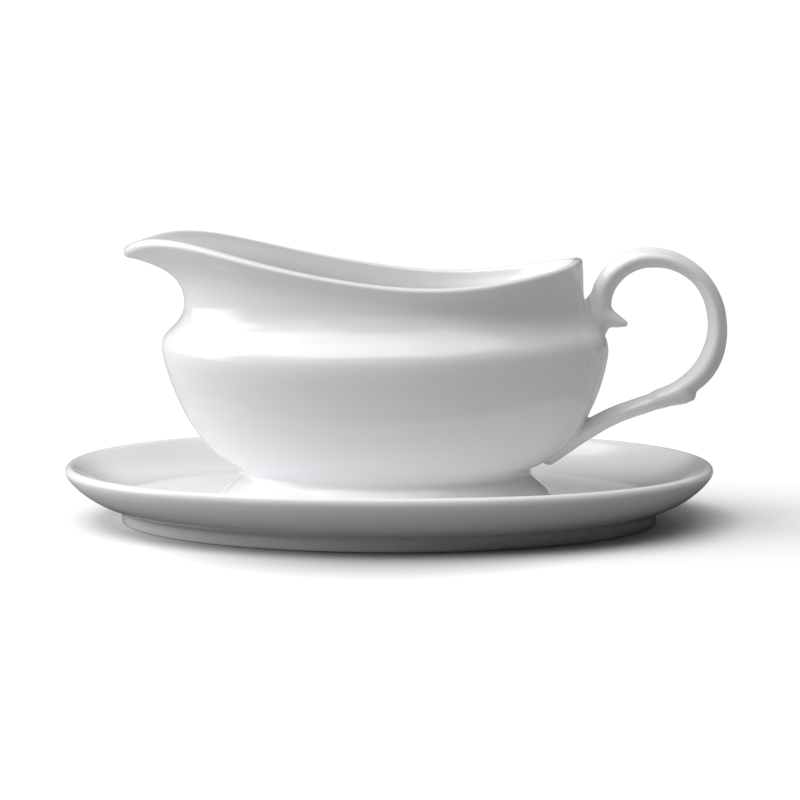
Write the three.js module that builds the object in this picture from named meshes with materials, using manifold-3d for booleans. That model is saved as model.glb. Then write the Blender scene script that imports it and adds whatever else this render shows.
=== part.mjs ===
import * as THREE from 'three';
import Module from 'manifold-3d';

// Gravy boat on a loose oval saucer. Millimetres, Z up, spout towards -X, handle towards +X.

// Frame: the saucer's middle and the jug's middle along X, measured from the row origin.
const SAUCER_X = -2.3;
const JUG_X = -2.8;

// Jug: height of its foot above the table, wall thickness, joint gap of the handle.
const JUG_Z = 9.3;
const WALL = 3.2;
const JOINT_GAP = 0.3;
const NECK_Z = 68.8;

// Facets round each piece.
const JUG_SEGMENTS = 52;
const SAUCER_SEGMENTS = 52;
const STRAP_SEGMENTS = 14;
const LIP_STEPS = 5;

// Rim height above the jug's foot, as cosine terms of the angle round the jug.
const RIM_TERMS = [84.8, -5.3, 4.9, 2.0, -1.35, 0.6, -0.3, 0.25];

// How far the long sides of the jug's widest level dip, that level, and its spread.
const RIDGE_DROP = 2.7;
const RIDGE_LEVEL = 56;
const RIDGE_SPREAD = 11;
const RIDGE_SKEW = 0.4;

// How the rim's share of rise counts as height when the dip fades above the neck.
const RISE_LEVEL = 10;

// Squareness of the ovals, and the droop and extra wall thickness at the spout's tip.
const RIM_FULLNESS = 0.18;
const SAUCER_FULLNESS = 0.1;
const TIP_DROOP = 4.0;
const TIP_SWELL = 1.6;

// Powers that keep the tip's swelling and droop close to the middle of the spout and to the rim.
const TIP_POWER = 8;
const DROOP_TIP_POWER = 3;
const DROOP_RISE_POWER = 6;

// Half lengths between which the saucer's flare takes on its squareness.
const FLARE_START = 99;
const FLARE_SPAN = 17;

// Underside rings of the jug, from its middle to the foot: half length, half width, height.
const UNDERSIDE_RINGS = [
  [20, 12, 6.5],
  [38, 22, 6.4],
  [47, 29.4, 6.1],
  [50.6, 32.5, 5.0],
  [51.6, 33.4, 2.6],
  [52.4, 34.2, 0.5],
  [53.2, 35.0, 0],
];

// Bowl rings from the foot to the neck: spout reach, handle reach, half width, height.
const BOWL_RINGS = [
  [54.8, 54.8, 36.6, 0],
  [56.8, 56.8, 38.6, 0],
  [59.0, 59.0, 40.8, 0],
  [60.3, 60.3, 42.1, 0.4],
  [60.4, 60.4, 42.2, 1.6],
  [58.2, 58.2, 40.4, 3.4],
  [55, 55, 38, 5.8],
  [52.9, 52.9, 36.3, 8.2],
  [52.7, 52.7, 36.2, 9.9],
  [54.6, 54.6, 37.2, 11.3],
  [58.6, 58.6, 38.0, 12.9],
  [63.4, 63.7, 40.2, 16.4],
  [68.4, 69.1, 42.6, 22],
  [73.5, 74.2, 45.0, 30],
  [77.6, 78.1, 47.0, 39.5],
  [80.2, 80.2, 48.5, 47.5],
  [81.3, 81.0, 49.2, 52.6],
  [81.5, 80.7, 49.2, 56.2],
  [80.2, 79.1, 47.9, 59.2],
  [77.2, 76.4, 44.8, 61.7],
  [74.5, 74.2, 42.0, 64.8],
  [73.0, 72.9, 40.3, 68.0],
];

// Upper rings: spout reach, handle reach, half width, egg shape, share of the rim's rise.
const UPPER_RINGS = [
  [72.9, 72.2, 39.5, -0.6, 0.12],
  [73.4, 71.9, 39.4, -1.4, 0.28],
  [75.2, 71.8, 39.4, -2.6, 0.44],
  [78.8, 71.8, 39.7, -3.9, 0.6],
  [84.6, 71.7, 40.0, -5.1, 0.74],
  [90.1, 71.6, 40.2, -6.1, 0.86],
  [93.0, 71.5, 40.4, -6.6, 0.95],
];

// Inside of the bowl, from its floor up to where the wall thickness is constant.
const FLOOR_RINGS = [
  [61.5, 37.4, 18.6],
  [54.5, 33.4, 15.4],
  [44, 27.5, 13.9],
  [27, 17, 13.6],
];
const FIRST_WALL_RING = 13;

// Saucer section, from the middle of the underside round the rim to the middle of the well.
const SAUCER_RINGS = [
  [30, 19, 4.6],
  [60, 38, 4.6],
  [84, 52.5, 4.6],
  [91.4, 57.6, 4.4],
  [93.1, 58.9, 2.4],
  [93.7, 59.3, 0.5],
  [94.3, 59.7, 0],
  [95, 60.3, 0],
  [96, 61.1, 0],
  [97, 61.9, 0],
  [97.4, 62.5, 0],
  [97.7, 62.8, 0.5],
  [97.6, 62.8, 2.4],
  [97.9, 63.0, 4.3],
  [99.3, 64.0, 5.4],
  [103.6, 66.9, 6.6],
  [108.3, 69.8, 8.9],
  [112.7, 72.7, 12.0],
  [116.1, 74.8, 15.3],
  [118.0, 76.0, 17.9],
  [118.3, 76.2, 19.6],
  [117.2, 75.4, 20.9],
  [115.6, 74.3, 21.2],
  [113.6, 72.8, 19.9],
  [110, 70.2, 16.8],
  [105.2, 67, 13.6],
  [99.2, 63, 10.9],
  [91, 57.6, 9.4],
  [80, 51, 9.0],
  [66, 44, 9.0],
  [52, 34, 9.0],
  [25, 16, 9.0],
];

// Handle pieces in the XZ plane from the saucer's middle: x, z, half thickness, half width.
const STRAP = [
  [59.0, 22.6, 2.2, 2.6],
  [64.0, 26.8, 2.8, 3.6],
  [69.5, 31.3, 3.3, 4.2],
  [75.2, 35.1, 3.4, 4.6],
  [81.1, 38.4, 3.25, 4.6],
  [87.6, 41.0, 3.2, 4.6],
  [94.1, 43.1, 3.2, 4.6],
  [100.6, 45.6, 3.3, 4.6],
  [106.6, 48.6, 3.5, 4.6],
  [111.6, 52.2, 4.0, 4.7],
  [115.4, 56.6, 4.05, 4.8],
  [117.8, 61.8, 4.0, 4.8],
  [119.1, 67.4, 3.65, 4.8],
  [119.2, 73, 3.45, 4.7],
  [118.2, 78.9, 3.3, 4.6],
  [115.9, 84.4, 3.05, 4.6],
  [112.5, 89.1, 2.95, 4.6],
  [108, 92.6, 3.05, 4.7],
  [102.8, 95.1, 3.3, 4.7],
  [97, 96.1, 3.6, 4.7],
  [90.8, 95.7, 3.75, 4.8],
  [85.2, 93.2, 3.85, 4.8],
  [81, 89.2, 3.9, 4.8],
  [78.2, 84.6, 3.9, 4.8],
  [77.3, 79.5, 3.9, 4.8],
  [77.2, 75.2, 4.0, 4.7],
  [76.9, 71.8, 3.2, 4.4],
  [76.3, 69.4, 2.0, 3.6],
];
const SPUR = [
  [77.5, 75.0, 3.0, 4.0],
  [80.6, 74.1, 3.1, 4.2],
  [82.6, 73.2, 2.7, 3.9],
  [84.4, 72.6, 1.9, 3.4],
  [86.0, 72.2, 1.2, 2.6],
];
const ROOT = [
  [74.2, 80.3, 1.8, 2.4],
  [74.9, 76.8, 2.8, 3.6],
  [75.9, 73.8, 3.5, 4.2],
  [77.1, 71.2, 2.9, 4.0],
  [77.8, 69.7, 1.7, 3.0],
];
const HEEL = [
  [99.0, 45.3, 2.7, 4.0],
  [103.2, 46.0, 3.0, 4.3],
  [106.4, 46.0, 3.0, 4.3],
  [108.6, 46.0, 2.5, 4.0],
  [109.7, 46.0, 1.8, 3.3],
];

// How far the rounded end of a swept bar stands out, as a share of its half thickness.
const END_BULGE = 0.6;

// Height of the rim above the jug's foot at an angle measured from the handle side.
function rimHeight(angle) {
  return RIM_TERMS.reduce((sum, term, order) => sum + term * Math.cos(order * angle), 0);
}

// One at the tip of the spout, falling to nothing on either side of it.
function nearTip(angle) {
  return ((1 - Math.cos(angle)) / 2) ** TIP_POWER;
}

// Uniform cubic B-spline through a list of rows, sampled a number of times per row.
function smoothRows(rows, perRow) {
  const last = rows.length - 1;
  const before = rows[0].map((value, k) => 2 * value - rows[1][k]);
  const after = rows[last].map((value, k) => 2 * value - rows[last - 1][k]);
  const padded = [before, ...rows, after];
  const result = [];
  for (let i = 0; i <= last; i += 1) {
    const steps = i < last ? perRow : 1;
    for (let s = 0; s < steps; s += 1) {
      result.push(blend(padded, Math.min(i, last - 1), i < last ? s / perRow : 1));
    }
  }
  return result;
}

function blend(rows, i, t) {
  const b0 = (1 - t) ** 3 / 6;
  const b1 = (3 * t ** 3 - 6 * t ** 2 + 4) / 6;
  const b2 = (-3 * t ** 3 + 3 * t ** 2 + 3 * t + 1) / 6;
  const b3 = t ** 3 / 6;
  return rows[i].map((value, k) => {
    const upper = b2 * rows[i + 2][k] + b3 * rows[i + 3][k];
    return b0 * value + b1 * rows[i + 1][k] + upper;
  });
}

// One ring of points from [spout reach, handle reach, half width, egg, height, rise].
// Fullness squares off the ends of the oval, and drop lowers its long sides.
function ringPoints(row, segments, fullness = 0, drop = 0) {
  const [spout, handle, width, egg, height, rise] = row;
  const points = [];
  for (let j = 0; j < segments; j += 1) {
    const angle = (2 * Math.PI * j) / segments;
    const middle = (handle - spout) / 2;
    const reach = (handle + spout) / 2;
    const x = middle + reach * Math.cos(angle) - 2 * egg * Math.sin(angle) ** 2;
    const y = width * Math.sin(angle) * (1 + fullness * Math.cos(angle) ** 2);
    const droop = TIP_DROOP * nearTip(angle) ** DROOP_TIP_POWER * rise ** DROOP_RISE_POWER;
    const dip = drop * Math.sin(angle) ** 2 * (1 - RIDGE_SKEW * Math.cos(angle));
    const z = height + rise * (rimHeight(angle) - NECK_Z) - droop - dip;
    points.push(new THREE.Vector3(x, y, z));
  }
  return points;
}

function ellipseRow([length, width, height]) {
  return [length, length, width, 0, height, 0];
}

// Closed skin over a stack of rings, with a single point closing each end.
function loftGeometry(rings, firstPole, lastPole) {
  const count = rings[0].length;
  const points = [firstPole, ...rings.flat(), lastPole];
  const index = [];
  const at = (i, j) => 1 + i * count + (j % count);
  for (let j = 0; j < count; j += 1) {
    index.push(0, at(0, j + 1), at(0, j));
  }
  for (let i = 0; i < rings.length - 1; i += 1) {
    for (let j = 0; j < count; j += 1) {
      index.push(at(i, j), at(i, j + 1), at(i + 1, j + 1));
      index.push(at(i, j), at(i + 1, j + 1), at(i + 1, j));
    }
  }
  const end = points.length - 1;
  for (let j = 0; j < count; j += 1) {
    index.push(at(rings.length - 1, j), at(rings.length - 1, j + 1), end);
  }
  const geometry = new THREE.BufferGeometry().setFromPoints(points);
  geometry.setIndex(index);
  return geometry;
}

// Outward normals of a grid of rings.
function ringNormals(rings) {
  const count = rings[0].length;
  return rings.map((ring, i) => {
    const below = rings[Math.max(i - 1, 0)];
    const above = rings[Math.min(i + 1, rings.length - 1)];
    return ring.map((point, j) => {
      const around = ring[(j + 1) % count].clone().sub(ring[(j + count - 1) % count]);
      const up = above[j].clone().sub(below[j]);
      return around.cross(up).normalize();
    });
  });
}

function shiftRings(rings, normals, distances) {
  return rings.map((ring, i) => ring.map((p, j) => {
    return p.clone().addScaledVector(normals[i][j], distances[i][j]);
  }));
}

// Rounded lip that turns the outer wall over into the inner wall.
function lipRings(rings, normals, thickness) {
  const top = rings[rings.length - 1];
  const under = rings[rings.length - 2];
  const out = normals[normals.length - 1];
  const result = [];
  for (let s = 1; s < LIP_STEPS; s += 1) {
    const turn = (Math.PI * s) / LIP_STEPS;
    result.push(top.map((point, j) => {
      const up = point.clone().sub(under[j]).normalize();
      const radius = thickness[j] / 2;
      const centre = point.clone().addScaledVector(out[j], -radius);
      centre.addScaledVector(out[j], radius * Math.cos(turn));
      return centre.addScaledVector(up, radius * Math.sin(turn));
    }));
  }
  return result;
}

// Rows of the jug's outside, from the underside up to just below the lip.
function jugRows() {
  const under = UNDERSIDE_RINGS.map(ellipseRow);
  const bowl = BOWL_RINGS.map(([a, b, c, height]) => [a, b, c, 0, height, 0]);
  const upper = UPPER_RINGS.map(([a, b, c, egg, rise]) => [a, b, c, egg, NECK_Z, rise]);
  return smoothRows([...under, ...bowl, ...upper], 1);
}

function jugOutside() {
  return jugRows().map((row) => {
    const level = row[4] + RISE_LEVEL * row[5];
    const drop = RIDGE_DROP * Math.exp(-(((level - RIDGE_LEVEL) / RIDGE_SPREAD) ** 2));
    return ringPoints(row, JUG_SEGMENTS, RIM_FULLNESS * row[5], drop);
  });
}

// Wall thickness for each point of each ring: one value, but for the swollen spout tip.
function jugThickness() {
  return jugRows().map((row) => {
    const thickness = [];
    for (let j = 0; j < JUG_SEGMENTS; j += 1) {
      const swell = TIP_SWELL * nearTip((2 * Math.PI * j) / JUG_SEGMENTS);
      thickness.push(WALL + swell * row[5] ** 2);
    }
    return thickness;
  });
}

// Jug body: foot ring, bowl, neck and spout in one cast wall.
function jugBodyGeometry() {
  const outside = jugOutside();
  const normals = ringNormals(outside);
  const thickness = jugThickness();
  const depths = thickness.map((ring) => ring.map((value) => -value));
  const inside = shiftRings(outside, normals, depths);
  const firstWall = UNDERSIDE_RINGS.length + FIRST_WALL_RING;
  const wall = inside.slice(firstWall).reverse();
  const floor = FLOOR_RINGS.map((ring) => ringPoints(ellipseRow(ring), JUG_SEGMENTS));
  const lip = lipRings(outside, normals, thickness[thickness.length - 1]);
  const rings = [...outside, ...lip, ...wall, ...floor];
  const underPole = new THREE.Vector3(0, 0, UNDERSIDE_RINGS[0][2]);
  const floorPole = new THREE.Vector3(0, 0, FLOOR_RINGS[FLOOR_RINGS.length - 1][2]);
  return loftGeometry(rings, underPole, floorPole).translate(JUG_X, 0, JUG_Z);
}

// Solid block with the jug's outside, grown by the joint gap, that trims the handle.
function jugPlugGeometry() {
  const outside = jugOutside();
  const gaps = outside.map((ring) => ring.map(() => JOINT_GAP));
  const grown = shiftRings(outside, ringNormals(outside), gaps);
  const underPole = new THREE.Vector3(0, 0, UNDERSIDE_RINGS[0][2] - JOINT_GAP);
  const topPole = new THREE.Vector3(0, 0, NECK_Z);
  return loftGeometry(grown, underPole, topPole).translate(JUG_X, 0, JUG_Z);
}

// Saucer: foot ring, flared underside, rounded rim and flat well.
function saucerGeometry() {
  const rows = smoothRows(SAUCER_RINGS.map(ellipseRow), 1);
  const rings = rows.map((row) => {
    const share = THREE.MathUtils.clamp((row[0] - FLARE_START) / FLARE_SPAN, 0, 1);
    return ringPoints(row, SAUCER_SEGMENTS, SAUCER_FULLNESS * share);
  });
  const underPole = new THREE.Vector3(0, 0, SAUCER_RINGS[0][2]);
  const wellPole = new THREE.Vector3(0, 0, SAUCER_RINGS[SAUCER_RINGS.length - 1][2]);
  return loftGeometry(rings, underPole, wellPole).translate(SAUCER_X, 0, 0);
}

// Oval bar swept along a line of [x, z, half thickness, half width] stations.
function sweptGeometry(stations, perRow) {
  const rows = smoothRows(stations, perRow);
  const centres = rows.map(([x, z]) => new THREE.Vector3(x, 0, z));
  const tangents = centres.map((centre, i) => {
    const next = centres[Math.min(i + 1, centres.length - 1)];
    const previous = centres[Math.max(i - 1, 0)];
    return next.clone().sub(previous).normalize();
  });
  const rings = rows.map((row, i) => ovalRing(centres[i], tangents[i], row[2], row[3]));
  const tip = (i, sign) => centres[i].clone().addScaledVector(tangents[i], sign * rows[i][2] * END_BULGE);
  const last = rows.length - 1;
  return loftGeometry(rings, tip(0, -1), tip(last, 1)).translate(SAUCER_X, 0, 0);
}

function ovalRing(centre, tangent, thickness, width) {
  const points = [];
  for (let j = 0; j < STRAP_SEGMENTS; j += 1) {
    const angle = (2 * Math.PI * j) / STRAP_SEGMENTS;
    const across = thickness * Math.cos(angle);
    const point = centre.clone();
    point.x -= tangent.z * across;
    point.z += tangent.x * across;
    point.y -= width * Math.sin(angle);
    points.push(point);
  }
  return points;
}

const wasm = await Module();
wasm.setup();

function toSolid(geometry) {
  const mesh = new wasm.Mesh({
    numProp: 3,
    vertProperties: new Float32Array(geometry.attributes.position.array),
    triVerts: new Uint32Array(geometry.index.array),
  });
  return new wasm.Manifold(mesh);
}

function fromSolid(solid) {
  const mesh = solid.getMesh();
  const geometry = new THREE.BufferGeometry();
  geometry.setAttribute('position', new THREE.BufferAttribute(mesh.vertProperties, 3));
  geometry.setIndex(new THREE.BufferAttribute(mesh.triVerts, 1));
  return geometry;
}

// Handle: looped strap with its thumb spur, upper root and heel, trimmed to the jug's wall.
function handleGeometry() {
  const strap = toSolid(sweptGeometry(STRAP, 2));
  const spur = toSolid(sweptGeometry(SPUR, 1));
  const root = toSolid(sweptGeometry(ROOT, 1));
  const heel = toSolid(sweptGeometry(HEEL, 1));
  const bar = strap.add(spur).add(root).add(heel);
  const trimmed = bar.subtract(toSolid(jugPlugGeometry()));
  const pieces = trimmed.decompose();
  pieces.sort((a, b) => b.volume() - a.volume());
  return fromSolid(pieces[0]);
}

function glazedMesh(name, geometry, colour) {
  const material = new THREE.MeshStandardMaterial({ color: colour, roughness: 0.12, metalness: 0 });
  const mesh = new THREE.Mesh(geometry, material);
  mesh.name = name;
  return mesh;
}

const group = new THREE.Group();
group.name = 'gravy_boat';
group.add(glazedMesh('saucer', saucerGeometry(), 0xf1f2f4));
group.add(glazedMesh('jug_body', jugBodyGeometry(), 0xf3f4f6));
group.add(glazedMesh('handle', handleGeometry(), 0xf3f4f6));

export default group;
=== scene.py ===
import math

import bpy
import numpy as np
from mathutils import Matrix, Vector


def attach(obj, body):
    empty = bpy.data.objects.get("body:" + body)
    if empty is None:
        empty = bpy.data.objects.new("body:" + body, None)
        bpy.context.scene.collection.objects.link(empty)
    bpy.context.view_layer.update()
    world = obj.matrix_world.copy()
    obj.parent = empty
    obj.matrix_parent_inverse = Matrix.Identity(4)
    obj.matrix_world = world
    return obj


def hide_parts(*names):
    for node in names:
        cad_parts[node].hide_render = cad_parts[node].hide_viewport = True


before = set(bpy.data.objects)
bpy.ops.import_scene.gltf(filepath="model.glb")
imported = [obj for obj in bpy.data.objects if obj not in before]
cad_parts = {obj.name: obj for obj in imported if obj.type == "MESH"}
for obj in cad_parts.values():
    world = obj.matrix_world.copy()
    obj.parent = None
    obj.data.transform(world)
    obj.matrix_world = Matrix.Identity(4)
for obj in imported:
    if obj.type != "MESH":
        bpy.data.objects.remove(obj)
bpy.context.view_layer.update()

# Gravy boat on a loose oval saucer, in glazed white porcelain.
# The shape tables are in millimetres; meshes are scaled to metres when they are made.

MM = 0.001

# Frame: the saucer's middle and the jug's middle along X, the jug's foot above the table,
# the wall's thickness, and the neck's height above the jug's foot.
SAUCER_X = -2.3
JUG_X = -2.8
JUG_Z = 9.3
WALL = 3.2
NECK_Z = 68.8

# Fineness of the meshes: points round a ring, rings for each row of a table, lip steps.
JUG_SEGMENTS = 224
SAUCER_SEGMENTS = 224
RINGS_PER_ROW = 4
LIP_STEPS = 12

# Rim height above the jug's foot, as cosine terms of the angle round the jug.
RIM_TERMS = (84.8, -5.3, 4.9, 2.0, -1.35, 0.6, -0.3, 0.25)

# The jug's widest level dips along its long sides: how far, at what height above the jug's
# foot, over how much of the height, and how much more on the spout's half.
RIDGE_DROP = 2.7
RIDGE_LEVEL = 56
RIDGE_SPREAD = 11
RIDGE_SKEW = 0.4

# Above the neck that dip fades as if the rim's full rise were this high.
RISE_LEVEL = 10

# Squareness of the jug's rim and of the saucer's flare, and the droop and the extra wall
# thickness at the tip of the spout.
RIM_FULLNESS = 0.18
SAUCER_FULLNESS = 0.1
TIP_DROOP = 4.0
TIP_SWELL = 1.6

# Powers that keep the tip's swelling and droop close to the spout's middle and to the rim.
TIP_POWER = 8
DROOP_TIP_POWER = 3
DROOP_RISE_POWER = 6

# Half length at which the saucer's flare starts to square off, and how much longer a ring
# has to be for all of it.
FLARE_START = 99
FLARE_SPAN = 17

# Underside rings of the jug, from its middle to the foot: half length, half width, height.
UNDERSIDE_RINGS = [
    (20, 12, 6.5),
    (38, 22, 6.4),
    (47, 29.4, 6.1),
    (50.6, 32.5, 5.0),
    (51.6, 33.4, 2.6),
    (52.4, 34.2, 0.5),
    (53.2, 35.0, 0),
]
# Bowl rings from the foot to the neck: spout reach, handle reach, half width, height.
BOWL_RINGS = [
    (54.8, 54.8, 36.6, 0),
    (56.8, 56.8, 38.6, 0),
    (59.0, 59.0, 40.8, 0),
    (60.3, 60.3, 42.1, 0.4),
    (60.4, 60.4, 42.2, 1.6),
    (58.2, 58.2, 40.4, 3.4),
    (55, 55, 38, 5.8),
    (52.9, 52.9, 36.3, 8.2),
    (52.7, 52.7, 36.2, 9.9),
    (54.6, 54.6, 37.2, 11.3),
    (58.6, 58.6, 38.0, 12.9),
    (63.4, 63.7, 40.2, 16.4),
    (68.4, 69.1, 42.6, 22),
    (73.5, 74.2, 45.0, 30),
    (77.6, 78.1, 47.0, 39.5),
    (80.2, 80.2, 48.5, 47.5),
    (81.3, 81.0, 49.2, 52.6),
    (81.5, 80.7, 49.2, 56.2),
    (80.2, 79.1, 47.9, 59.2),
    (77.2, 76.4, 44.8, 61.7),
    (74.5, 74.2, 42.0, 64.8),
    (73.0, 72.9, 40.3, 68.0),
]

# Upper rings: spout reach, handle reach, half width, egg shape, share of the rim's rise.
UPPER_RINGS = [
    (72.9, 72.2, 39.5, -0.6, 0.12),
    (73.4, 71.9, 39.4, -1.4, 0.28),
    (75.2, 71.8, 39.4, -2.6, 0.44),
    (78.8, 71.8, 39.7, -3.9, 0.6),
    (84.6, 71.7, 40.0, -5.1, 0.74),
    (90.1, 71.6, 40.2, -6.1, 0.86),
    (93.0, 71.5, 40.4, -6.6, 0.95),
]

# Inside of the bowl below its even wall, down to its floor: half length, half width, height.
FLOOR_RINGS = [
    (61.5, 37.4, 18.6),
    (54.5, 33.4, 15.4),
    (44, 27.5, 13.9),
    (27, 17, 13.6),
    (9, 6, 13.6),
]

# Row of the outside from which the inside follows it at an even thickness. The lowest rows
# of that wall lead the curve into the floor, with a gap of a few rings between the two.
FIRST_WALL_ROW = 20
LEAD_ROWS = 4
LEAD_GAP = 2

# Rows between which the foot ring is left unglazed.
JUG_LAND_ROWS = (6.0, 9.2)
SAUCER_LAND_ROWS = (6.5, 9.6)

# Saucer section, from the middle of the underside round the rim to the middle of the well:
# half length, half width, height.
SAUCER_RINGS = [
    (30, 19, 4.6),
    (60, 38, 4.6),
    (84, 52.5, 4.6),
    (91.4, 57.6, 4.4),
    (93.1, 58.9, 2.4),
    (93.7, 59.3, 0.5),
    (94.3, 59.7, 0),
    (95, 60.3, 0),
    (96, 61.1, 0),
    (97, 61.9, 0),
    (97.4, 62.5, 0),
    (97.7, 62.8, 0.5),
    (97.6, 62.8, 2.4),
    (97.9, 63.0, 4.3),
    (99.3, 64.0, 5.4),
    (103.6, 66.9, 6.6),
    (108.3, 69.8, 8.9),
    (112.7, 72.7, 12.0),
    (116.1, 74.8, 15.3),
    (118.0, 76.0, 17.9),
    (118.3, 76.2, 19.6),
    (117.2, 75.4, 20.9),
    (115.6, 74.3, 21.2),
    (113.6, 72.8, 19.9),
    (110, 70.2, 16.8),
    (105.2, 67, 13.6),
    (99.2, 63, 10.9),
    (91, 57.6, 9.4),
    (80, 51, 9.0),
    (66, 44, 9.0),
    (52, 34, 9.0),
    (25, 16, 9.0),
]

# Handle pieces in the XZ plane from the saucer's middle: x, z, half thickness, half width.
STRAP = [
    (59.0, 22.6, 2.2, 2.6),
    (64.0, 26.8, 2.8, 3.6),
    (69.5, 31.3, 3.3, 4.2),
    (75.2, 35.1, 3.4, 4.6),
    (81.1, 38.4, 3.25, 4.6),
    (87.6, 41.0, 3.2, 4.6),
    (94.1, 43.1, 3.2, 4.6),
    (100.6, 45.6, 3.3, 4.6),
    (106.6, 48.6, 3.5, 4.6),
    (111.6, 52.2, 4.0, 4.7),
    (115.4, 56.6, 4.05, 4.8),
    (117.8, 61.8, 4.0, 4.8),
    (119.1, 67.4, 3.65, 4.8),
    (119.2, 73, 3.45, 4.7),
    (118.2, 78.9, 3.3, 4.6),
    (115.9, 84.4, 3.05, 4.6),
    (112.5, 89.1, 2.95, 4.6),
    (108, 92.6, 3.05, 4.7),
    (102.8, 95.1, 3.3, 4.7),
    (97, 96.1, 3.6, 4.7),
    (90.8, 95.7, 3.75, 4.8),
    (85.2, 93.2, 3.85, 4.8),
    (81, 89.2, 3.9, 4.8),
    (78.2, 84.6, 3.9, 4.8),
    (77.3, 79.5, 3.9, 4.8),
    (77.2, 75.2, 4.0, 4.7),
    (76.9, 71.8, 3.2, 4.4),
    (76.3, 69.4, 2.0, 3.6),
]
SPUR = [
    (77.5, 75.0, 3.0, 4.0),
    (80.6, 74.1, 3.1, 4.2),
    (82.6, 73.2, 2.7, 3.9),
    (84.4, 72.6, 1.9, 3.4),
    (86.0, 72.2, 1.2, 2.6),
]
ROOT = [
    (74.2, 80.3, 1.8, 2.4),
    (74.9, 76.8, 2.8, 3.6),
    (75.9, 73.8, 3.5, 4.2),
    (77.1, 71.2, 2.9, 4.0),
    (77.8, 69.7, 1.7, 3.0),
]
HEEL = [
    (99.0, 45.3, 2.7, 4.0),
    (103.2, 46.0, 3.0, 4.3),
    (106.4, 46.0, 3.0, 4.3),
    (108.6, 46.0, 2.5, 4.0),
    (109.7, 46.0, 1.8, 3.3),
]

# Handle section: exponent of the oval, where 2 is an ellipse and less is more pointed, for
# the strap and for the other pieces. Then the reach of the blend between two pieces, and
# of the blend onto the jug.
SECTION_POWER = 1.62
ROUND_POWER = 2.0
PIECE_BLEND = 2.2
JOINT_BLEND = 1.6

# How deep the handle's skin lies under the jug's glaze, how far its root goes into the
# wall, how far from the bar its skirt reaches, and how far the jug's side view is carried
# on above the rim.
SKIN_DEPTH = 0.12
ROOT_DEPTH = 0.9
SKIRT_REACH = 5.0
ABOVE_RIM = 30

# Grid in which the handle is made: cell size and the corners of the block round it. Then
# the samples for each station along a piece, the parts in which the grid is worked through
# to save memory, the rounds of evening out, and the limits put on a field's slope.
CELL = 0.45
HANDLE_LOW = (53.0, -8.1, 18.0)
HANDLE_HIGH = (124.0, 8.1, 101.5)
STRAP_SAMPLES = 10
GRID_PARTS = 40
RELAX_ROUNDS = 3
SLOPE_LIMITS = (0.35, 3)
LEAST_SLOPE_SQUARED = 0.2

# Glaze: the two colours of each piece, the share of the noise over which one turns into the
# other, where each piece lies in the noise, the roughness and the index of refraction.
JUG_COLOURS = ((0.86, 0.865, 0.875), (0.885, 0.89, 0.90))
SAUCER_COLOURS = ((0.855, 0.86, 0.87), (0.88, 0.885, 0.895))
CLOUD_BAND = (0.35, 0.65)
JUG_SEED = 0.0
SAUCER_SEED = 2.4
GLAZE_ROUGHNESS = (0.02, 0.05)
ROUGHNESS_BAND = (0.3, 0.7)
GLAZE_IOR = 1.5

# Bare foot ring: its two colours, the share of the noise between them, and its roughness.
FOOT_COLOURS = ((0.70, 0.68, 0.64), (0.80, 0.78, 0.75))
GRIT_BAND = (0.4, 0.6)
FOOT_ROUGHNESS = 0.8

# Camera: place and aim from the saucer's middle in mm, angles in degrees, lens and sensor in mm.
CAMERA_AZIMUTH = 6.0
CAMERA_DISTANCE = 900
CAMERA_HEIGHT = 168.5
AIM_HEIGHT = 45
AIM_RIGHT = 4.9
AIM_DOWN = 1.05
CAMERA_ROLL = -0.43
FOCAL_LENGTH = 112.5
SENSOR = 36

# Light: the dim surround, the least cosine at which a ray faces a soft box, and the least
# one that is divided by. Then each soft box: azimuth, elevation, half width, half height,
# edge softness and strength.
AMBIENT = 0.03
LEAST_FACING = 0.01
LEAST_DIVISOR = 0.001
SOFTBOXES = [
    (300, 66, 0.50, 0.35, 0.2, 1.2),
    (315, 45, 0.25, 0.25, 0.2, 1.0),
    (345, 72, 0.50, 0.35, 0.2, 1.9),
    (272, 10, 0.45, 0.18, 0.5, 4.7),
    (272, 32, 0.45, 0.22, 0.2, 3.2),
    (268, 55, 0.30, 0.20, 0.3, 2.4),
    (90, 62, 0.40, 0.30, 0.3, 0.2),
    (150, 15, 0.50, 0.25, 0.9, 0.1),
    (150, 40, 0.50, 0.25, 0.6, 0.7),
]

# Floor: the pale one in view and the greyer one that bounces light up to the object. Each
# has its colour under the object and farther out, the distances in metres where the change
# starts and ends, and the oval that it follows. The darker colour under the object is a
# painted shadow on the pale floor, and painted shade on the grey one that cuts the light
# bounced up near the object.
FLOOR_PAINTED_SHADOW_AND_FAR_COLOURS = ((0.24, 0.24, 0.245), (0.97, 0.97, 0.975))
FLOOR_PAINTED_SHADOW_REACH = (0.064, 0.11)
FLOOR_PAINTED_SHADOW_OVAL = (1.15, 1)
BOUNCE_PAINTED_SHADE_AND_FAR_COLOURS = ((0.14, 0.14, 0.145), (0.46, 0.46, 0.465))
BOUNCE_PAINTED_SHADE_REACH = (0.065, 0.15)
BOUNCE_PAINTED_SHADE_OVAL = (0.65, 1)

# Size of the set in mm, how far the floors lie below the object, and the backdrop's glow.
FLOOR_HALF_SIZE = 9000
FLOOR_DEPTH = 0.05
BOUNCE_DEPTH = 0.1
BACKDROP_RADIUS = 8500
BACKDROP_HEIGHTS = (-100, 9000)
BACKDROP_SIDES = 96
BACKDROP_GLOW = 1.1


# ---------------------------------------------------------------- curves and lofts

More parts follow.
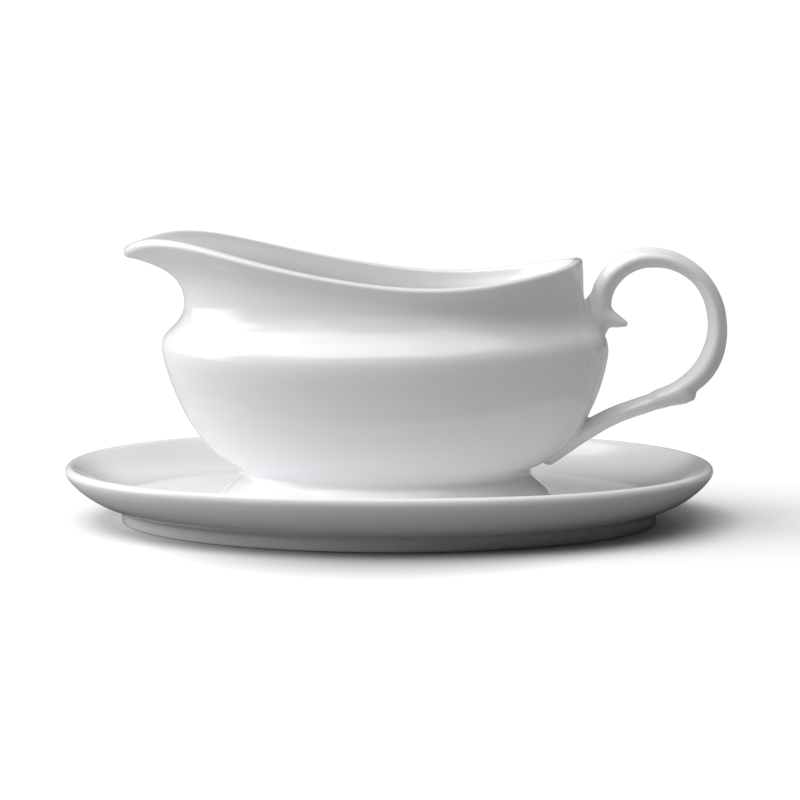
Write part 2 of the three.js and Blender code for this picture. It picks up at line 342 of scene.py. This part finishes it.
def smooth_rows(rows, per_row):
    """Uniform cubic B-spline through rows, with per_row samples for each row."""
    table = np.array(rows, float)
    table = np.vstack([2 * table[0] - table[1], table, 2 * table[-1] - table[-2]])
    result = []
    spans = len(table) - 3
    for i in range(spans):
        steps = per_row + 1 if i == spans - 1 else per_row
        t = (np.arange(steps) / per_row)[:, None]
        b0 = (1 - t) ** 3 / 6
        b1 = (3 * t ** 3 - 6 * t ** 2 + 4) / 6
        b2 = (-3 * t ** 3 + 3 * t ** 2 + 3 * t + 1) / 6
        b3 = t ** 3 / 6
        result.append(b0 * table[i] + b1 * table[i + 1] + b2 * table[i + 2] + b3 * table[i + 3])
    return np.vstack(result)


def rim_height(angle):
    """Height of the rim above the jug's foot at an angle from the handle side."""
    return sum(term * np.cos(order * angle) for order, term in enumerate(RIM_TERMS))


def near_tip(angle):
    """One at the tip of the spout, falling to nothing on either side of it."""
    return ((1 - np.cos(angle)) / 2) ** TIP_POWER


def ellipse_row(ring):
    length, width, height = ring
    return (length, length, width, 0, height, 0)


def ring_points(rows, segments, fullness, drop=None):
    """Rings of points from rows of spout reach, handle reach, half width, egg, height, rise.

    Fullness, one value for each row, squares off the ends of the oval, and drop lowers
    its long sides.
    """
    angle = np.arange(segments) * 2 * math.pi / segments
    spout, handle, width, egg, height, rise = [rows[:, k, None] for k in range(6)]
    x = (handle - spout) / 2 + (handle + spout) / 2 * np.cos(angle)
    x = x - 2 * egg * np.sin(angle) ** 2
    y = width * np.sin(angle) * (1 + fullness[:, None] * np.cos(angle) ** 2)
    z = height + rise * (rim_height(angle) - NECK_Z)
    z = z - TIP_DROOP * near_tip(angle) ** DROOP_TIP_POWER * rise ** DROOP_RISE_POWER
    if drop is not None:
        z = z - drop[:, None] * np.sin(angle) ** 2 * (1 - RIDGE_SKEW * np.cos(angle))
    return np.stack([x, y, z], -1)


def ring_normals(rings):
    around = np.roll(rings, -1, 1) - np.roll(rings, 1, 1)
    up = np.gradient(rings, axis=0)
    out = np.cross(around, up)
    return out / np.linalg.norm(out, axis=2, keepdims=True)


def make_mesh(name, points, faces, slots=None):
    """Smooth mesh object from points in millimetres."""
    mesh = bpy.data.meshes.new(name)
    mesh.from_pydata((np.asarray(points) * MM).tolist(), [], faces)
    mesh.validate()
    mesh.shade_smooth()
    if slots is not None:
        mesh.polygons.foreach_set("material_index", slots)
    mesh.update()
    piece = bpy.data.objects.new(name, mesh)
    bpy.context.scene.collection.objects.link(piece)
    return piece


def loft(name, rings, first_pole, last_pole, land_rings):
    """Closed skin over a stack of rings, with one point closing each end.

    The second material goes on the faces between the two land rings.
    """
    stack, count, _ = rings.shape
    points = np.vstack([[first_pole], rings.reshape(-1, 3), [last_pole]])
    end = len(points) - 1
    faces = []
    slots = []
    for j in range(count):
        faces.append((0, 1 + (j + 1) % count, 1 + j))
        slots.append(0)
    for i in range(stack - 1):
        base = 1 + i * count
        slot = 1 if land_rings[0] <= i < land_rings[1] else 0
        for j in range(count):
            k = (j + 1) % count
            faces.append((base + j, base + k, base + count + k, base + count + j))
            slots.append(slot)
    base = 1 + (stack - 1) * count
    for j in range(count):
        faces.append((base + j, base + (j + 1) % count, end))
        slots.append(0)
    return make_mesh(name, points, faces, slots)


# ---------------------------------------------------------------- jug body and saucer

def jug_rows():
    under = [ellipse_row(ring) for ring in UNDERSIDE_RINGS]
    bowl = [(a, b, c, 0, height, 0) for a, b, c, height in BOWL_RINGS]
    upper = [(a, b, c, egg, NECK_Z, rise) for a, b, c, egg, rise in UPPER_RINGS]
    return smooth_rows(under + bowl + upper, RINGS_PER_ROW)


def make_jug_body():
    """Foot ring, bowl, neck and spout: one cast wall, turned over at a rounded lip."""
    rows = jug_rows()
    level = rows[:, 4] + RISE_LEVEL * rows[:, 5]
    drop = RIDGE_DROP * np.exp(-((level - RIDGE_LEVEL) / RIDGE_SPREAD) ** 2)
    outside = ring_points(rows, JUG_SEGMENTS, RIM_FULLNESS * rows[:, 5], drop)
    normals = ring_normals(outside)
    top, out = outside[-1], normals[-1]
    up = top - outside[-2]
    up /= np.linalg.norm(up, axis=1, keepdims=True)
    angle = np.arange(JUG_SEGMENTS) * 2 * math.pi / JUG_SEGMENTS
    swell = TIP_SWELL * near_tip(angle)
    thick = WALL + swell * rows[:, 5, None] ** 2
    radius = thick[-1, :, None] / 2
    middle = top - out * radius
    lip = []
    for step in range(1, LIP_STEPS):
        turn = math.pi * step / LIP_STEPS
        lip.append(middle + (out * math.cos(turn) + up * math.sin(turn)) * radius)
    wall = (outside - normals * thick[:, :, None])[FIRST_WALL_ROW * RINGS_PER_ROW:][::-1]
    floor_rows = np.array([ellipse_row(ring) for ring in FLOOR_RINGS], float)
    floor = ring_points(floor_rows, JUG_SEGMENTS, np.zeros(len(floor_rows)))
    keys = np.concatenate([wall[::RINGS_PER_ROW][-LEAD_ROWS:], floor])
    curve = smooth_rows(keys.reshape(len(keys), -1), RINGS_PER_ROW)
    curve = curve.reshape(-1, JUG_SEGMENTS, 3)
    shared = LEAD_ROWS // 2 * RINGS_PER_ROW
    inside = np.concatenate([wall[:-shared - LEAD_GAP], curve[shared:]])
    rings = np.concatenate([outside, np.array(lip), inside])
    shift = np.array([JUG_X, 0, JUG_Z])
    land = [int(row * RINGS_PER_ROW) for row in JUG_LAND_ROWS]
    under_pole = shift + (0, 0, UNDERSIDE_RINGS[0][2])
    floor_pole = shift + (0, 0, FLOOR_RINGS[-1][2])
    return loft("jug_body_glazed", rings + shift, under_pole, floor_pole, land)


def make_saucer():
    """Foot ring, flared underside, rounded rim and flat well."""
    rows = smooth_rows([ellipse_row(ring) for ring in SAUCER_RINGS], RINGS_PER_ROW)
    share = np.clip((rows[:, 0] - FLARE_START) / FLARE_SPAN, 0, 1)
    rings = ring_points(rows, SAUCER_SEGMENTS, SAUCER_FULLNESS * share)
    shift = np.array([SAUCER_X, 0, 0])
    land = [int(row * RINGS_PER_ROW) for row in SAUCER_LAND_ROWS]
    under_pole = shift + (0, 0, SAUCER_RINGS[0][2])
    well_pole = shift + (0, 0, SAUCER_RINGS[-1][2])
    return loft("saucer_glazed", rings + shift, under_pole, well_pole, land)


# ---------------------------------------------------------------- handle as one smooth solid

def smooth_min(a, b, radius):
    near = np.maximum(radius - np.abs(a - b), 0) / radius
    return np.minimum(a, b) - near ** 2 * radius / 4


def swept_field(stations, power, grid_x, grid_z, grid_y):
    """Field of an oval bar swept along stations in the XZ plane, negative inside it."""
    rows = smooth_rows(stations, STRAP_SAMPLES)
    centre = rows[:, :2]
    tangent = np.gradient(centre, axis=0)
    tangent /= np.linalg.norm(tangent, axis=1, keepdims=True)
    flat = np.stack([grid_x.ravel(), grid_z.ravel()], 1)
    nearest = np.concatenate([
        np.argmin(((part[:, None] - centre[None]) ** 2).sum(2), axis=1)
        for part in np.array_split(flat, GRID_PARTS)
    ])
    step = np.linalg.norm(centre[1:] - centre[:-1], axis=1).mean()
    along = ((flat - centre[nearest]) * tangent[nearest]).sum(1)
    where = np.clip(nearest + along / step, 0, len(rows) - 1)
    order = np.arange(len(rows))
    c = np.stack([np.interp(where, order, centre[:, k]) for k in range(2)], 1)
    t = np.stack([np.interp(where, order, tangent[:, k]) for k in range(2)], 1)
    t /= np.linalg.norm(t, axis=1, keepdims=True)
    thick = np.interp(where, order, rows[:, 2])
    wide = np.interp(where, order, rows[:, 3])
    side = (flat - c)[:, 0] * -t[:, 1] + (flat - c)[:, 1] * t[:, 0]
    past = ((flat - c) * t).sum(1)
    shape = grid_x.shape
    side, past, thick, wide = [v.reshape(shape)[:, None, :] for v in (side, past, thick, wide)]
    y = grid_y[None, :, None]
    size = np.abs(side / thick) ** power + np.abs(y / wide) ** power
    size = (size + np.abs(past / thick) ** power) ** (1 / power)
    return (size - 1) * thick


def profile_field(grid_x, grid_z, grid_y):
    """Distance in mm from the jug's outer wall near the handle, negative inside it.

    It is measured in the XZ plane, and moved along X to follow the oval at each Y.
    """
    rows = jug_rows()
    rows = rows[len(UNDERSIDE_RINGS) * RINGS_PER_ROW:]
    rise = rows[:, 4] + rows[:, 5] * (rim_height(0.0) - NECK_Z) + JUG_Z
    line = np.stack([rows[:, 1] + JUG_X, rise], 1)
    line = np.vstack([line, line[-1] + (0, ABOVE_RIM)])
    start, span = line[:-1], line[1:] - line[:-1]
    flat = np.stack([grid_x.ravel(), grid_z.ravel()], 1)
    distance = np.empty(len(flat))
    for part in np.array_split(np.arange(len(flat)), GRID_PARTS):
        offset = flat[part][:, None] - start[None]
        share = (offset * span).sum(2) / (span ** 2).sum(1)
        gap = offset - np.clip(share, 0, 1)[..., None] * span
        length = np.sqrt((gap ** 2).sum(2))
        best = np.argmin(length, axis=1)
        pick = np.arange(len(part))
        cross = span[best, 0] * gap[pick, best, 1] - span[best, 1] * gap[pick, best, 0]
        distance[part] = length[pick, best] * np.where(cross > 0, -1, 1)
    distance = distance.reshape(grid_x.shape)
    order = np.argsort(rise)
    full_width = rows[:, 2] * (1 + RIM_FULLNESS * rows[:, 5])
    width = np.interp(grid_z[0], rise[order], full_width[order])
    reach = np.interp(grid_z[0], rise[order], (rows[order, 0] + rows[order, 1]) / 2)
    xs = grid_x[:, 0]
    result = np.empty((len(xs), len(grid_y), grid_z.shape[1]))
    for k in range(grid_z.shape[1]):
        for j, y in enumerate(grid_y):
            shift = reach[k] * (1 - math.sqrt(1 - (y / width[k]) ** 2))
            result[:, j, k] = np.interp(xs + shift, xs, distance[:, k])
            result[:, j, k] += np.maximum(xs + shift - xs[-1], 0)
    return result


def unit_slope(field):
    """Field divided by its own slope, so that it reads as a distance near zero."""
    slope = np.sqrt(sum(g ** 2 for g in np.gradient(field, CELL)))
    return field / np.clip(slope, *SLOPE_LIMITS)


def surface_nets(field, low):
    """Quads and points of a field's zero surface, one point in each cell that it crosses."""
    inside = field < 0
    shape = np.array(field.shape) - 1
    total = np.zeros(tuple(shape) + (3,))
    count = np.zeros(tuple(shape))
    corner = [(a, b, c) for a in (0, 1) for b in (0, 1) for c in (0, 1)]

    def part(array, at):
        return array[at[0]:at[0] + shape[0], at[1]:at[1] + shape[1], at[2]:at[2] + shape[2]]

    for one in corner:
        for axis in range(3):
            if one[axis]:
                continue
            other = tuple(v + (k == axis) for k, v in enumerate(one))
            a, b = part(field, one), part(field, other)
            crossed = part(inside, one) != part(inside, other)
            share = np.where(crossed, a / np.where(crossed, a - b, 1), 0)
            for k in range(3):
                total[..., k] += crossed * (one[k] + (share if k == axis else 0))
            count += crossed
    used = count > 0
    number = np.full(used.shape, -1)
    number[used] = np.arange(used.sum())
    cells = np.argwhere(used)
    points = low + (cells + total[used] / count[used][:, None]) * CELL
    faces = []
    for axis in range(3):
        u, v = (axis + 1) % 3, (axis + 2) % 3
        ahead = [slice(None)] * 3
        behind = [slice(None)] * 3
        ahead[axis], behind[axis] = slice(1, None), slice(None, -1)
        first, second = inside[tuple(behind)], inside[tuple(ahead)]
        for flip, hit in ((False, first & ~second), (True, ~first & second)):
            where = np.argwhere(hit)
            where = where[(where[:, u] > 0) & (where[:, v] > 0)]
            where = where[(where[:, u] <= shape[u] - 1) & (where[:, v] <= shape[v] - 1)]
            ring = []
            for du, dv in ((1, 1), (0, 1), (0, 0), (1, 0)):
                cell = where.copy()
                cell[:, u] -= du
                cell[:, v] -= dv
                ring.append(number[cell[:, 0], cell[:, 1], cell[:, 2]])
            quads = np.stack(ring, 1)
            faces.append(quads[:, ::-1] if flip else quads)
    return points, np.vstack(faces)


def field_at(field, low, points):
    """Field value and slope at points, between the grid's own values."""
    place = (points - low) / CELL
    cell = np.clip(np.floor(place).astype(int), 0, np.array(field.shape) - 2)
    t = place - cell
    value = np.zeros(len(points))
    slope = np.zeros((len(points), 3))
    for a in (0, 1):
        for b in (0, 1):
            for c in (0, 1):
                f = field[cell[:, 0] + a, cell[:, 1] + b, cell[:, 2] + c]
                wx, wy, wz = [w if k else 1 - w for w, k in zip(t.T, (a, b, c))]
                value += f * wx * wy * wz
                slope[:, 0] += f * (1 if a else -1) * wy * wz
                slope[:, 1] += f * wx * (1 if b else -1) * wz
                slope[:, 2] += f * wx * wy * (1 if c else -1)
    return value, slope / CELL


def relax(points, faces, rounds):
    """Points moved half way to the middle of their neighbours, a number of times."""
    count = len(points)
    edges = np.vstack([faces[:, [k, (k + 1) % 4]] for k in range(4)])
    for _ in range(rounds):
        total = np.zeros((count, 3))
        near = np.zeros(count)
        for a, b in ((0, 1), (1, 0)):
            for k in range(3):
                total[:, k] += np.bincount(edges[:, a], points[edges[:, b], k], count)
            near += np.bincount(edges[:, a], minlength=count)
        points = points * 0.5 + total / near[:, None] * 0.5
    return points


def make_handle():
    """Strap, thumb spur, heel and roots blended into one body that flares onto the jug."""
    low = np.array(HANDLE_LOW)
    xs, ys, zs = [np.arange(low[k], HANDLE_HIGH[k], CELL) for k in range(3)]
    grid_x, grid_z = np.meshgrid(xs, zs, indexing="ij")
    bar = unit_slope(swept_field(STRAP, SECTION_POWER, grid_x, grid_z, ys))
    for stations in (SPUR, ROOT, HEEL):
        piece = unit_slope(swept_field(stations, ROUND_POWER, grid_x, grid_z, ys))
        bar = smooth_min(bar, piece, PIECE_BLEND)
    wall = profile_field(grid_x + SAUCER_X, grid_z, ys)
    body = smooth_min(bar, wall + SKIN_DEPTH, JOINT_BLEND)
    body = np.maximum(body, -(wall + ROOT_DEPTH))
    body = np.maximum(body, bar - SKIRT_REACH)
    points, faces = surface_nets(body, low)
    for _ in range(RELAX_ROUNDS):
        points = relax(points, faces, 1)
        value, slope = field_at(body, low, points)
        steep = np.maximum((slope ** 2).sum(1), LEAST_SLOPE_SQUARED)
        points = points - slope * (value / steep)[:, None]
    points = relax(points, faces, 1)
    return make_mesh("handle_glazed", points + (SAUCER_X, 0, 0), faces.tolist())


# ---------------------------------------------------------------- materials

def node_tree(material):
    material.use_nodes = True
    tree = material.node_tree
    tree.nodes.clear()
    return tree


def add_node(tree, kind, **values):
    node = tree.nodes.new(kind)
    for key, value in values.items():
        if key in node.inputs:
            node.inputs[key].default_value = value
        else:
            setattr(node, key, value)
    return node


def two_colours(tree, factor, first, second, low, high):
    ramp = tree.nodes.new("ShaderNodeValToRGB")
    ramp.color_ramp.elements[0].position = low
    ramp.color_ramp.elements[0].color = (*first, 1)
    ramp.color_ramp.elements[1].position = high
    ramp.color_ramp.elements[1].color = (*second, 1)
    tree.links.new(factor, ramp.inputs["Fac"])
    return ramp.outputs["Color"]


def glaze_material(name, first, second, seed):
    """Clear glossy glaze over white porcelain, with slow waves and faint clouding."""
    material = bpy.data.materials.new(name)
    tree = node_tree(material)
    links = tree.links
    place = add_node(tree, "ShaderNodeTexCoord")
    offset = add_node(tree, "ShaderNodeMapping")
    offset.inputs["Location"].default_value = (seed, seed * 0.7, seed * 1.3)
    links.new(place.outputs["Object"], offset.inputs["Vector"])
    cloud = add_node(tree, "ShaderNodeTexNoise", Scale=14.0, Detail=3.0, Roughness=0.5)
    wave = add_node(tree, "ShaderNodeTexNoise", Scale=46.0, Detail=1.0, Roughness=0.4)
    fine = add_node(tree, "ShaderNodeTexNoise", Scale=420.0, Detail=2.0, Roughness=0.5)
    for noise in (cloud, wave, fine):
        links.new(offset.outputs["Vector"], noise.inputs["Vector"])
    colour = two_colours(tree, cloud.outputs["Fac"], first, second, *CLOUD_BAND)
    gloss = add_node(tree, "ShaderNodeMapRange")
    gloss.inputs["From Min"].default_value = ROUGHNESS_BAND[0]
    gloss.inputs["From Max"].default_value = ROUGHNESS_BAND[1]
    gloss.inputs["To Min"].default_value = GLAZE_ROUGHNESS[0]
    gloss.inputs["To Max"].default_value = GLAZE_ROUGHNESS[1]
    links.new(fine.outputs["Fac"], gloss.inputs["Value"])
    bump = add_node(tree, "ShaderNodeBump", Strength=0.12, Distance=0.0004)
    links.new(wave.outputs["Fac"], bump.inputs["Height"])
    shader = add_node(tree, "ShaderNodeBsdfPrincipled")
    shader.inputs["IOR"].default_value = GLAZE_IOR
    links.new(colour, shader.inputs["Base Color"])
    links.new(gloss.outputs["Result"], shader.inputs["Roughness"])
    links.new(bump.outputs["Normal"], shader.inputs["Normal"])
    output = add_node(tree, "ShaderNodeOutputMaterial")
    links.new(shader.outputs["BSDF"], output.inputs["Surface"])
    return material


def biscuit_material():
    """Unglazed fired porcelain on the foot rings: matt, slightly warm and gritty."""
    material = bpy.data.materials.new("unglazed_foot")
    tree = node_tree(material)
    links = tree.links
    place = add_node(tree, "ShaderNodeTexCoord")
    grit = add_node(tree, "ShaderNodeTexNoise", Scale=900.0, Detail=4.0, Roughness=0.6)
    links.new(place.outputs["Object"], grit.inputs["Vector"])
    colour = two_colours(tree, grit.outputs["Fac"], *FOOT_COLOURS, *GRIT_BAND)
    bump = add_node(tree, "ShaderNodeBump", Strength=0.35, Distance=0.0002)
    links.new(grit.outputs["Fac"], bump.inputs["Height"])
    shader = add_node(tree, "ShaderNodeBsdfPrincipled")
    shader.inputs["Roughness"].default_value = FOOT_ROUGHNESS
    links.new(colour, shader.inputs["Base Color"])
    links.new(bump.outputs["Normal"], shader.inputs["Normal"])
    output = add_node(tree, "ShaderNodeOutputMaterial")
    links.new(shader.outputs["BSDF"], output.inputs["Surface"])
    return material


def painted_shadow_floor_material(name, near, far, reach, scale):
    """Matt floor with painted shade: darker under the object than it is farther out."""
    material = bpy.data.materials.new(name)
    tree = node_tree(material)
    place = add_node(tree, "ShaderNodeTexCoord")
    distance = add_node(tree, "ShaderNodeVectorMath", operation="LENGTH")
    oval = add_node(tree, "ShaderNodeMapping")
    oval.inputs["Scale"].default_value = (*scale, 1)
    tree.links.new(place.outputs["Object"], oval.inputs["Vector"])
    tree.links.new(oval.outputs["Vector"], distance.inputs[0])
    colour = two_colours(tree, distance.outputs["Value"], near, far, *reach)
    shader = add_node(tree, "ShaderNodeBsdfDiffuse")
    tree.links.new(colour, shader.inputs["Color"])
    output = add_node(tree, "ShaderNodeOutputMaterial")
    tree.links.new(shader.outputs["BSDF"], output.inputs["Surface"])
    return material


def glow_material(name, strength):
    material = bpy.data.materials.new(name)
    tree = node_tree(material)
    shader = add_node(tree, "ShaderNodeEmission", Strength=strength)
    output = add_node(tree, "ShaderNodeOutputMaterial")
    tree.links.new(shader.outputs["Emission"], output.inputs["Surface"])
    return material


# ---------------------------------------------------------------- studio

def seen_only(piece):
    """The camera sees this piece, and it throws no light back at the object."""
    piece.visible_diffuse = False
    piece.visible_glossy = False
    piece.visible_transmission = False
    piece.visible_volume_scatter = False
    piece.visible_shadow = False


def make_floor():
    """Pale floor in view, over a greyer one that sets how much light bounces back up; both are
    painted darker under the object as shade.
    """
    size = FLOOR_HALF_SIZE
    points = [(-size, -size, 0), (size, -size, 0), (size, size, 0), (-size, size, 0)]
    floor = make_mesh("floor", points, [(0, 1, 2, 3)])
    floor.location.z = -FLOOR_DEPTH * MM
    # The pale floor's darker colour under the object is a painted shadow.
    pale = painted_shadow_floor_material("pale_floor_painted_shadow", *FLOOR_PAINTED_SHADOW_AND_FAR_COLOURS, FLOOR_PAINTED_SHADOW_REACH, FLOOR_PAINTED_SHADOW_OVAL)
    floor.data.materials.append(pale)
    seen_only(floor)
    bounce = make_mesh("floor_bounce", points, [(0, 1, 2, 3)])
    bounce.location.z = -BOUNCE_DEPTH * MM
    # The grey floor's darker colour under the object is painted shade that cuts the light
    # bounced up near the object.
    grey = painted_shadow_floor_material("grey_floor_painted_shade", *BOUNCE_PAINTED_SHADE_AND_FAR_COLOURS, BOUNCE_PAINTED_SHADE_REACH, BOUNCE_PAINTED_SHADE_OVAL)
    bounce.data.materials.append(grey)
    bounce.visible_camera = False


def make_backdrop():
    """White wall all round, far behind the object, that only the camera sees."""
    sides = BACKDROP_SIDES
    points = []
    for height in BACKDROP_HEIGHTS:
        for k in range(sides):
            turn = 2 * math.pi * k / sides
            across = BACKDROP_RADIUS * math.cos(turn)
            along = BACKDROP_RADIUS * math.sin(turn)
            points.append((across, along, height))
    faces = [(k, (k + 1) % sides, sides + (k + 1) % sides, sides + k) for k in range(sides)]
    wall = make_mesh("backdrop", points, faces)
    wall.data.materials.append(glow_material("white_backdrop", BACKDROP_GLOW))
    seen_only(wall)


def make_camera():
    turn = math.radians(CAMERA_AZIMUTH)
    roll = math.radians(CAMERA_ROLL)
    place = Vector((
        CAMERA_DISTANCE * math.sin(turn),
        -CAMERA_DISTANCE * math.cos(turn),
        CAMERA_HEIGHT,
    ))
    aim = Vector((0, 0, AIM_HEIGHT))
    ahead = (aim - place).normalized()
    right = ahead.cross(Vector((0, 0, 1))).normalized()
    up = right.cross(ahead)
    aim += right * AIM_RIGHT - up * AIM_DOWN
    ahead = (aim - place).normalized()
    right = ahead.cross(Vector((0, 0, 1))).normalized()
    up = right.cross(ahead)
    across = right * math.cos(roll) + up * math.sin(roll)
    upward = up * math.cos(roll) - right * math.sin(roll)
    place += Vector((SAUCER_X, 0, 0))
    data = bpy.data.cameras.new("camera")
    data.lens = FOCAL_LENGTH
    data.sensor_width = SENSOR
    camera = bpy.data.objects.new("camera", data)
    matrix = Matrix((across, upward, -ahead)).transposed().to_4x4()
    matrix.translation = place * MM
    camera.matrix_world = matrix
    bpy.context.scene.collection.objects.link(camera)
    bpy.context.scene.camera = camera


def direction(azimuth, elevation):
    """Unit vector; azimuth 0 is the viewer's side, 90 the handle's end, 180 behind."""
    turn, rise = math.radians(azimuth), math.radians(elevation)
    return Vector((
        math.cos(rise) * math.sin(turn),
        -math.cos(rise) * math.cos(turn),
        math.sin(rise),
    ))


def math_node(tree, operation, first, second=None):
    node = tree.nodes.new("ShaderNodeMath")
    node.operation = operation
    for socket, value in zip(node.inputs, (first, second)):
        if isinstance(value, (int, float)):
            socket.default_value = value
        elif value is not None:
            tree.links.new(value, socket)
    return node.outputs["Value"]


def softbox(tree, ray, azimuth, elevation, width, height, softness, strength):
    """Light from a far rectangle: width and height are tangents of its half angles.

    Rays that face away from it get none.
    """
    aim = direction(azimuth, elevation)
    right = aim.cross(Vector((0, 0, 1))).normalized()
    up = right.cross(aim)
    parts = []
    for axis in (aim, right, up):
        dot = add_node(tree, "ShaderNodeVectorMath", operation="DOT_PRODUCT")
        dot.inputs[1].default_value = axis
        tree.links.new(ray, dot.inputs[0])
        parts.append(dot.outputs["Value"])
    facing = math_node(tree, "MAXIMUM", parts[0], LEAST_DIVISOR)
    result = math_node(tree, "GREATER_THAN", parts[0], LEAST_FACING)
    for part, half in ((parts[1], width), (parts[2], height)):
        share = math_node(tree, "ABSOLUTE", math_node(tree, "DIVIDE", part, facing))
        edge = add_node(tree, "ShaderNodeMapRange", interpolation_type="SMOOTHSTEP")
        edge.inputs["From Min"].default_value = half * (1 + softness)
        edge.inputs["From Max"].default_value = half * (1 - softness)
        tree.links.new(share, edge.inputs["Value"])
        result = math_node(tree, "MULTIPLY", result, edge.outputs["Result"])
    return math_node(tree, "MULTIPLY", result, strength)


def make_world(boxes, ambient):
    """Dim surround with soft boxes above, at the left, at the right and behind."""
    world = bpy.data.worlds.new("studio")
    bpy.context.scene.world = world
    world.use_nodes = True
    tree = world.node_tree
    tree.nodes.clear()
    place = add_node(tree, "ShaderNodeTexCoord")
    total = ambient
    for box in boxes:
        total = math_node(tree, "ADD", total, softbox(tree, place.outputs["Generated"], *box))
    shade = add_node(tree, "ShaderNodeBackground")
    shade.inputs["Color"].default_value = (1, 1, 1, 1)
    tree.links.new(total, shade.inputs["Strength"])
    output = add_node(tree, "ShaderNodeOutputWorld")
    tree.links.new(shade.outputs["Background"], output.inputs["Surface"])


def make_studio():
    make_floor()
    make_backdrop()
    make_camera()
    make_world(SOFTBOXES, AMBIENT)
    bpy.context.scene.view_settings.view_transform = "Standard"
    bpy.context.scene.view_settings.look = "None"


# ---------------------------------------------------------------- assembly

jug_glaze = glaze_material("jug_glaze", *JUG_COLOURS, JUG_SEED)
saucer_glaze = glaze_material("saucer_glaze", *SAUCER_COLOURS, SAUCER_SEED)
unglazed_foot = biscuit_material()

jug = make_jug_body()
jug.data.materials.append(jug_glaze)
jug.data.materials.append(unglazed_foot)
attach(jug, "jug")
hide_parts("jug_body")

handle = make_handle()
handle.data.materials.append(jug_glaze)
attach(handle, "jug")
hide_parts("handle")

saucer = make_saucer()
saucer.data.materials.append(saucer_glaze)
saucer.data.materials.append(unglazed_foot)
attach(saucer, "saucer")
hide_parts("saucer")

make_studio()
